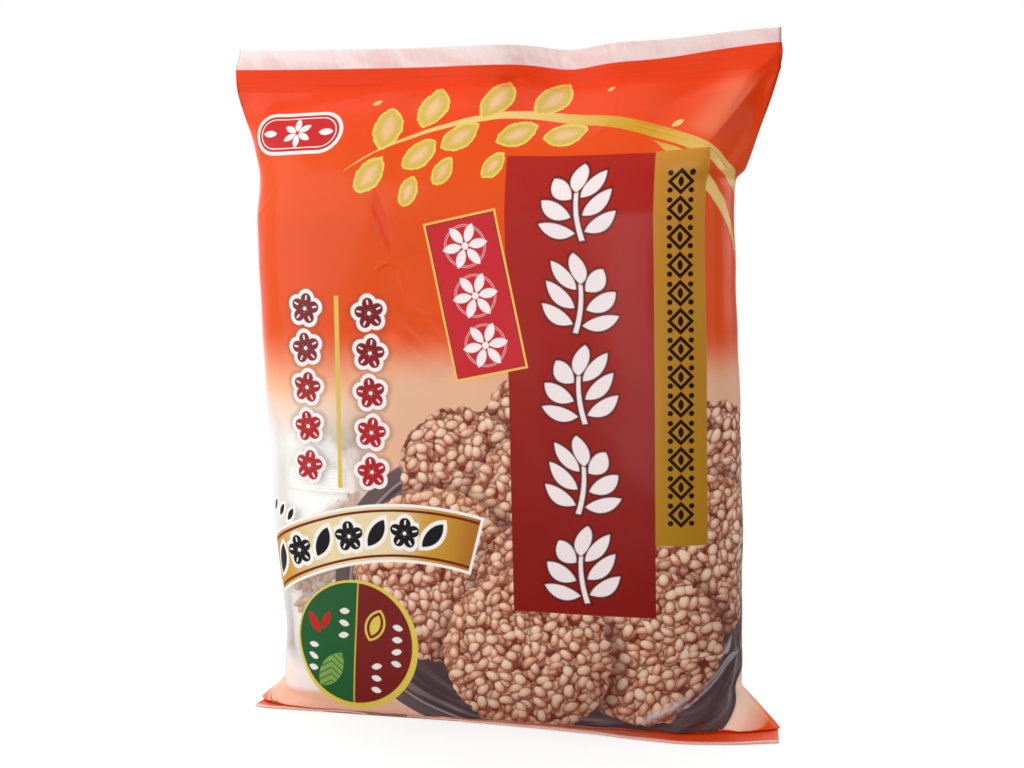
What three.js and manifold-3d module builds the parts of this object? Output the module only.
// A sealed pillow bag of rice crackers that stands on its own flattened bottom.
//
// The bag is one film tube. Its top is pressed flat into a seal fin, its bottom seal is folded
// under it and lies forward on the ground, and the corners of the tube stand out as flat ears.
// Units are millimetres. +X is to the right of someone who looks at the front, -Y is the front
// and +Z is up. The origin is on the ground, below the middle of the bag's box.

import * as THREE from 'three';
import { mergeVertices } from 'three/addons/utils/BufferGeometryUtils.js';
import Module from 'manifold-3d';

// ---------------------------------------------------------------- driving dimensions
const TOP_Z = 257; // cut edge of the top seal
const SEAL_Z = 243; // root of the top seal: the two film faces meet here
const SHOULDER_Z = 190; // the bag starts to thin out above this height
const TURN_Z = 30; // the bag starts to turn under below this height
const FRONT_DEPTH = 24.5; // front face of the bag, forward of the seal's plane
const BACK_DEPTH = 22.5; // back face of the bag, behind the seal's plane
const BOTTOM_SWELL = 0.1; // the contents settle, so the bottom is this much deeper
const FIN_HALF = 0.5; // half of the thickness of a pressed seal
const TAPER_POWER = 1.5; // how late the bag thins towards the seal

const RIGHT_HALF_LOW = 92.8; // half width of the body, low on the right
const RIGHT_HALF_HIGH = 89.7; // and high on the right
const RIGHT_TUCK = 92.6; // where the right-hand crease ends in a small tuck
const RIGHT_TUCK_Z = 205;
const RIGHT_SEAL_HALF = 105.5; // right end of the top seal
const LEFT_HALF_FOOT = 89; // half width of the body at the foot, on the left
const LEFT_HALF_MIDDLE = 94;
const LEFT_HALF_HIGH = 97.2;
const LEFT_SEAL_HALF = 107.3; // left end of the top seal
const LEFT_SEAL_CHAMFER = 2; // the cut runs in by this much at the top left
const RIGHT_POWER = 6; // how square the sides of the section are in the body
const LEFT_POWER = 8;
const CREASE_POWER = 2.4; // and at the top seal

const FOLD_Y = -25.2; // front fold at the bottom
const FOLD_Z = 1.3; // it lies on the folded seal
const FLANGE_THICK = 0.9; // the folded bottom seal
const FLANGE_WIDTH = 14;
const FOOT_SKEW = 0.045; // the foot is turned a little: its left end is further forward
const SNAP_Z = 0.4; // what is lower than this rests flat on the ground

// Each ear leaves the body at height start and runs straight to its tip at x, y, z.
const RIGHT_EAR = { x: 108, y: -9, z: 0.6, start: 14.5 };
const LEFT_EAR = { x: 97, y: -14, z: 0.8, start: 7.5 };

const BACK_SEAM = { centre: 5, width: 12, proud: 0.9, sunk: 3, low: 15, high: 236, rows: 20 };

const HALF_COLUMNS = 19; // columns from the middle of a face to the side
const TURN_ROWS = 13;
const BODY_ROWS = 9;

// ---------------------------------------------------------------- small helpers
const lerp = (a, b, t) => a + (b - a) * t;
const clamp01 = (t) => Math.min(1, Math.max(0, t));
const smooth = (a, b, x) => {
  const t = clamp01((x - a) / (b - a));
  return t * t * (3 - 2 * t);
};
const bump = (x, centre, width) => Math.exp(-(((x - centre) / width) ** 2));

// ---------------------------------------------------------------- profile of the bag
// How deep the bag is at a height, from 1 in the body to 0 at the seal.
function fullness(z) {
  const w = clamp01((z - SHOULDER_Z) / (SEAL_Z - SHOULDER_Z));
  return 1 - w ** TAPER_POWER;
}

function depthScale(z) {
  return fullness(z) * (1 + BOTTOM_SWELL * (1 - smooth(20, 150, z)));
}

const frontY = (z) => -FIN_HALF - FRONT_DEPTH * depthScale(z);
const backY = (z) => FIN_HALF + BACK_DEPTH * depthScale(z);

// Right side: upright, then a small tuck, then one straight crease out to the seal's end.
function rightHalf(z) {
  const body = lerp(RIGHT_HALF_LOW, RIGHT_HALF_HIGH, smooth(60, 190, z));
  const rise = clamp01((z - RIGHT_TUCK_Z) / (SEAL_Z - RIGHT_TUCK_Z));
  const crease = lerp(RIGHT_TUCK, RIGHT_SEAL_HALF, rise);
  return lerp(body, crease, smooth(RIGHT_TUCK_Z - 2, RIGHT_TUCK_Z + 2, z));
}

// Left side: leans out a little towards the top and flares to the seal in one soft curve.
function leftHalf(z) {
  const foot = lerp(LEFT_HALF_FOOT, LEFT_HALF_MIDDLE, smooth(20, 75, z));
  const body = foot + (LEFT_HALF_HIGH - LEFT_HALF_MIDDLE) * smooth(75, 190, z);
  const flare = (LEFT_SEAL_HALF - LEFT_HALF_HIGH) * smooth(207, 246, z) ** 0.85;
  return body + flare - LEFT_SEAL_CHAMFER * smooth(249, TOP_Z, z);
}

// A side of the section is |y| = b (1 - (x / a)^power)^round: blunt in the body, sharp at a crease.
function sideShape(z, side) {
  const sharpen = side > 0 ? smooth(198, 224, z) : smooth(215, SEAL_Z, z);
  const spread = side > 0 ? smooth(205, SEAL_Z, z) : sharpen;
  const power = side > 0 ? RIGHT_POWER : LEFT_POWER;
  return { power: lerp(power, CREASE_POWER, spread), round: lerp(0.5, 0.93, sharpen) };
}

// ---------------------------------------------------------------- rows of the tube
// A row has a front point, a back point and two side points in (y, z), and a half width each side.
function bodyRow(z) {
  const side = (sign) => ({
    half: sign > 0 ? rightHalf(z) : leftHalf(z),
    y: 0,
    z,
    ...sideShape(z, sign),
  });
  return { front: [frontY(z), z], back: [backY(z), z], left: side(-1), right: side(1) };
}

// Below TURN_Z the front drops to the fold, and the back turns the corner and runs forward on
// the ground to meet it, so the rows lean over more and more.
function turnRow(angle) {
  const c = Math.cos(angle);
  const s = Math.sin(angle);
  const corner = 0.27; // well under 1 makes a tight corner at the bottom of the back
  const side = (bodyHalf, ear, power) => {
    const z = ear.z + (TURN_Z - ear.z) * (1 - s) ** 0.62;
    const reach = clamp01((ear.start - z) / (ear.start - ear.z));
    return { half: lerp(bodyHalf, ear.x, reach), y: ear.y * (1 - c ** 0.8), z, power, round: 0.5 };
  };
  return {
    front: [FOLD_Y + (frontY(TURN_Z) - FOLD_Y) * c, FOLD_Z + (TURN_Z - FOLD_Z) * (1 - s ** 0.9)],
    back: [FOLD_Y + (backY(TURN_Z) - FOLD_Y) * c ** corner, TURN_Z * (1 - s ** corner)],
    left: side(leftHalf(TURN_Z), LEFT_EAR, LEFT_POWER),
    right: side(rightHalf(TURN_Z), RIGHT_EAR, RIGHT_POWER),
  };
}

function allRows() {
  const rows = [];
  for (let i = 0; i < TURN_ROWS; i += 1) {
    rows.push(turnRow((Math.PI / 2) * (1 - (i / TURN_ROWS) ** 1.7)));
  }
  for (let i = 0; i < BODY_ROWS; i += 1) {
    rows.push(bodyRow(lerp(TURN_Z, SHOULDER_Z, i / BODY_ROWS)));
  }
  const shoulder = [190, 197, 201, 203, 205, 207, 210, 214, 219, 224, 229, 233, 237, 240, SEAL_Z];
  const fin = [246, 249, 253, TOP_Z];
  return rows.concat([...shoulder, ...fin].map(bodyRow));
}

// Half of a section from the middle to the side, evenly spaced along the film, as [x, |y| / b].
function halfSection(half, depth, power, round) {
  const fine = 240;
  const xs = [];
  const fractions = [];
  const lengths = [0];
  for (let i = 0; i <= fine; i += 1) {
    const q = 1 - (1 - i / fine) ** 2.2;
    xs.push(half * q);
    fractions.push(Math.max(0, 1 - q ** power) ** round);
    if (i > 0) {
      const rise = depth * (fractions[i] - fractions[i - 1]);
      lengths.push(lengths[i - 1] + Math.hypot(xs[i] - xs[i - 1], rise));
    }
  }
  const points = [];
  let k = 0;
  for (let j = 0; j <= HALF_COLUMNS; j += 1) {
    const even = j / HALF_COLUMNS;
    const target = lengths[fine] * lerp(even, 1 - (1 - even) ** 2, 0.35); // denser at the side
    while (k < fine - 1 && lengths[k + 1] < target) k += 1;
    const t = clamp01((target - lengths[k]) / (lengths[k + 1] - lengths[k]));
    points.push([lerp(xs[k], xs[k + 1], t), lerp(fractions[k], fractions[k + 1], t)]);
  }
  points[0] = [0, 1];
  points[HALF_COLUMNS] = [half, 0];
  return points;
}

// The seal sags and is dented right of its middle, and the foot is turned a little.
function settle([x, y, z]) {
  const skew = FOOT_SKEW * x * (1 - smooth(0, 70, z)) * clamp01(-y / 20);
  const sag = 2 * Math.max(0, 1 - (x / 105) ** 2) + 2.6 * bump(x, 28, 13) + 1.3 * bump(x, 60, 22);
  const dent = 4 * bump(x, 24, 16) - 1.5 * bump(x, -6, 14);
  const settledZ = z - sag * smooth(200, TOP_Z, z);
  return [x, y + skew + dent * smooth(215, SEAL_Z, z), settledZ < SNAP_Z ? 0 : settledZ];
}

// One closed ring of points: the front from left to right, then the back from right to left.
function ring(row) {
  const [fy, fz] = row.front;
  const [by, bz] = row.back;
  const depth = Math.hypot(by - fy, bz - fz) / 2;
  const points = [];
  const place = (sign, x, side, fraction, toBack) => {
    const t = toBack ? fraction : -fraction;
    const y = side.y + (t * (by - fy)) / 2 + t * t * ((fy + by) / 2 - side.y);
    const z = side.z + (t * (bz - fz)) / 2 + t * t * ((fz + bz) / 2 - side.z);
    points.push(settle([sign * x, y, z]));
  };
  const left = halfSection(row.left.half, depth, row.left.power, row.left.round);
  const right = halfSection(row.right.half, depth, row.right.power, row.right.round);
  for (let j = HALF_COLUMNS; j > 0; j -= 1) place(-1, left[j][0], row.left, left[j][1], false);
  for (let j = 0; j <= HALF_COLUMNS; j += 1) place(1, right[j][0], row.right, right[j][1], false);
  for (let j = HALF_COLUMNS - 1; j >= 0; j -= 1) place(1, right[j][0], row.right, right[j][1], true);
  for (let j = 1; j < HALF_COLUMNS; j += 1) place(-1, left[j][0], row.left, left[j][1], true);
  return points;
}

// ---------------------------------------------------------------- closed meshes
// Stacked rings with a flat strip across each end, where front and back columns face each other.
function closeRings(rings) {
  const size = rings[0].length;
  const position = rings.flat(2);
  const index = [];
  const at = (r, j) => r * size + (j % size);
  for (let r = 0; r + 1 < rings.length; r += 1) {
    for (let j = 0; j < size; j += 1) {
      index.push(at(r, j), at(r, j + 1), at(r + 1, j + 1));
      index.push(at(r, j), at(r + 1, j + 1), at(r + 1, j));
    }
  }
  const last = rings.length - 1;
  for (let j = 0; j < size / 2; j += 1) {
    const mirror = (k) => (size - k) % size;
    const quads = [[0, false], [last, true]];
    for (const [r, up] of quads) {
      const corners = [at(r, j), at(r, j + 1), at(r, mirror(j + 1)), at(r, mirror(j))];
      const [a, b, c, d] = up ? corners : [corners[0], corners[3], corners[2], corners[1]];
      if (a !== d && b !== c) index.push(a, b, c, a, c, d);
      else if (a === d) index.push(a, b, c);
      else index.push(a, b, d);
    }
  }
  const geometry = new THREE.BufferGeometry();
  geometry.setAttribute('position', new THREE.Float32BufferAttribute(position, 3));
  geometry.setIndex(index);
  return geometry;
}

// The film tube: bottom fold, body, shoulders and top seal.
const bagBody = () => closeRings(allRows().map(ring));

// Front edge of the folded bottom seal, from its left end to its right end, seen from above.
function flangeFront() {
  return new THREE.SplineCurve([
    new THREE.Vector2(-95, -25.5),
    new THREE.Vector2(-88, -29.4),
    new THREE.Vector2(-30, -26.6),
    new THREE.Vector2(28, -27.6),
    new THREE.Vector2(69, -30.6),
    new THREE.Vector2(90, -27.6),
    new THREE.Vector2(108.8, -21.6),
  ]).getPoints(30);
}

function bottomFlange() {
  const front = flangeFront();
  const back = front.map((p) => new THREE.Vector2(p.x * 0.985, p.y + FLANGE_WIDTH)).reverse();
  const outline = new THREE.Shape([...front, ...back]);
  return new THREE.ExtrudeGeometry(outline, { depth: FLANGE_THICK, bevelEnabled: false });
}

// The long seam of the tube: a strip that lies flat on the back.
function backSeam() {
  const x0 = BACK_SEAM.centre - BACK_SEAM.width / 2;
  const x1 = BACK_SEAM.centre + BACK_SEAM.width / 2;
  const rings = [];
  for (let i = 0; i <= BACK_SEAM.rows; i += 1) {
    const z = lerp(BACK_SEAM.low, BACK_SEAM.high, i / BACK_SEAM.rows);
    const inner = backY(z) - BACK_SEAM.sunk;
    const outer = backY(z) + BACK_SEAM.proud;
    rings.push([[x0, inner, z], [x1, inner, z], [x1, outer, z], [x0, outer, z]].map(settle));
  }
  return closeRings(rings);
}

// ---------------------------------------------------------------- joining
const wasm = await Module();
wasm.setup();

function toSolid(geometry) {
  const bare = geometry.clone();
  bare.deleteAttribute('normal');
  bare.deleteAttribute('uv');
  const merged = mergeVertices(bare, 1e-3);
  return new wasm.Manifold(
    new wasm.Mesh({
      numProp: 3,
      vertProperties: new Float32Array(merged.attributes.position.array),
      triVerts: new Uint32Array(merged.index.array),
    }),
  );
}

function toGeometry(solid) {
  const mesh = solid.getMesh();
  const geometry = new THREE.BufferGeometry();
  geometry.setAttribute('position', new THREE.BufferAttribute(mesh.vertProperties, 3));
  geometry.setIndex(new THREE.BufferAttribute(mesh.triVerts, 1));
  geometry.computeVertexNormals();
  return geometry;
}

function makePack() {
  const solid = toSolid(bagBody()).add(toSolid(bottomFlange())).add(toSolid(backSeam()));
  const geometry = toGeometry(solid);
  geometry.computeBoundingBox();
  const { min, max } = geometry.boundingBox;
  geometry.translate(-(min.x + max.x) / 2, -(min.y + max.y) / 2, -min.z);
  const film = new THREE.MeshStandardMaterial({ color: 0xe8541c, roughness: 0.32, metalness: 0 });
  const mesh = new THREE.Mesh(geometry, film);
  mesh.name = 'pack';
  return mesh;
}

const group = new THREE.Group();
group.add(makePack());
export default group;
